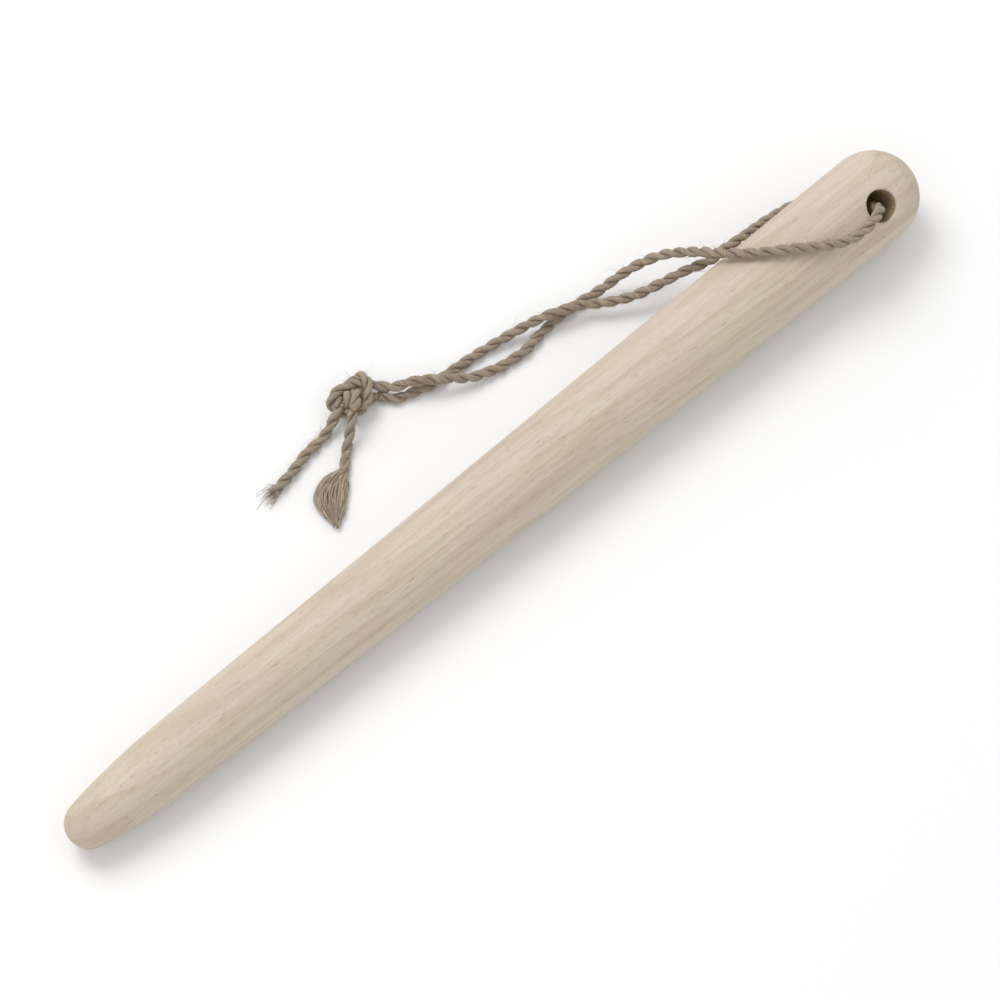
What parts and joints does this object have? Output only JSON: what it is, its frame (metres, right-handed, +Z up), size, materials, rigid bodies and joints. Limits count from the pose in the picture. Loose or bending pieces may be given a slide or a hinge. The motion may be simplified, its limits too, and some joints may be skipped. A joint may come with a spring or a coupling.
{
  "type": "garden dibber",
  "caption": "Small turned wooden dibber with a blunt point, a domed head and an eye through the head that carries a knotted loop of twine.",
  "frame": {"origin": "on the surface the dibber lies on, under the middle of the wooden peg's length", "axes": "+X along the peg from its point towards its head, +Z up, +Y towards the side where the loop of twine lies"},
  "size_m": [0.15, 0.0336, 0.0145],
  "materials": {
    "peg_wood": "raw, sanded smooth",
    "twine_fibre": "rough, slightly hairy natural fibre"
  },
  "bodies": {
    "peg": {"peg": "peg_wood"},
    "lanyard": {"twine_near_half": "twine_fibre", "twine_far_half": "twine_fibre", "twine_knot": "twine_fibre", "twine_straight_tail": "twine_fibre", "twine_frayed_tail": "twine_fibre"}
  },
  "joints": [
    {"name": "lanyard_swing", "type": "hinge", "parent": "peg", "child": "lanyard", "pos_m": [0.06599, 0, 0.00651], "axis": [0.0127, 0.5592, -0.8289], "range_deg": [0, 150]}
  ]
}
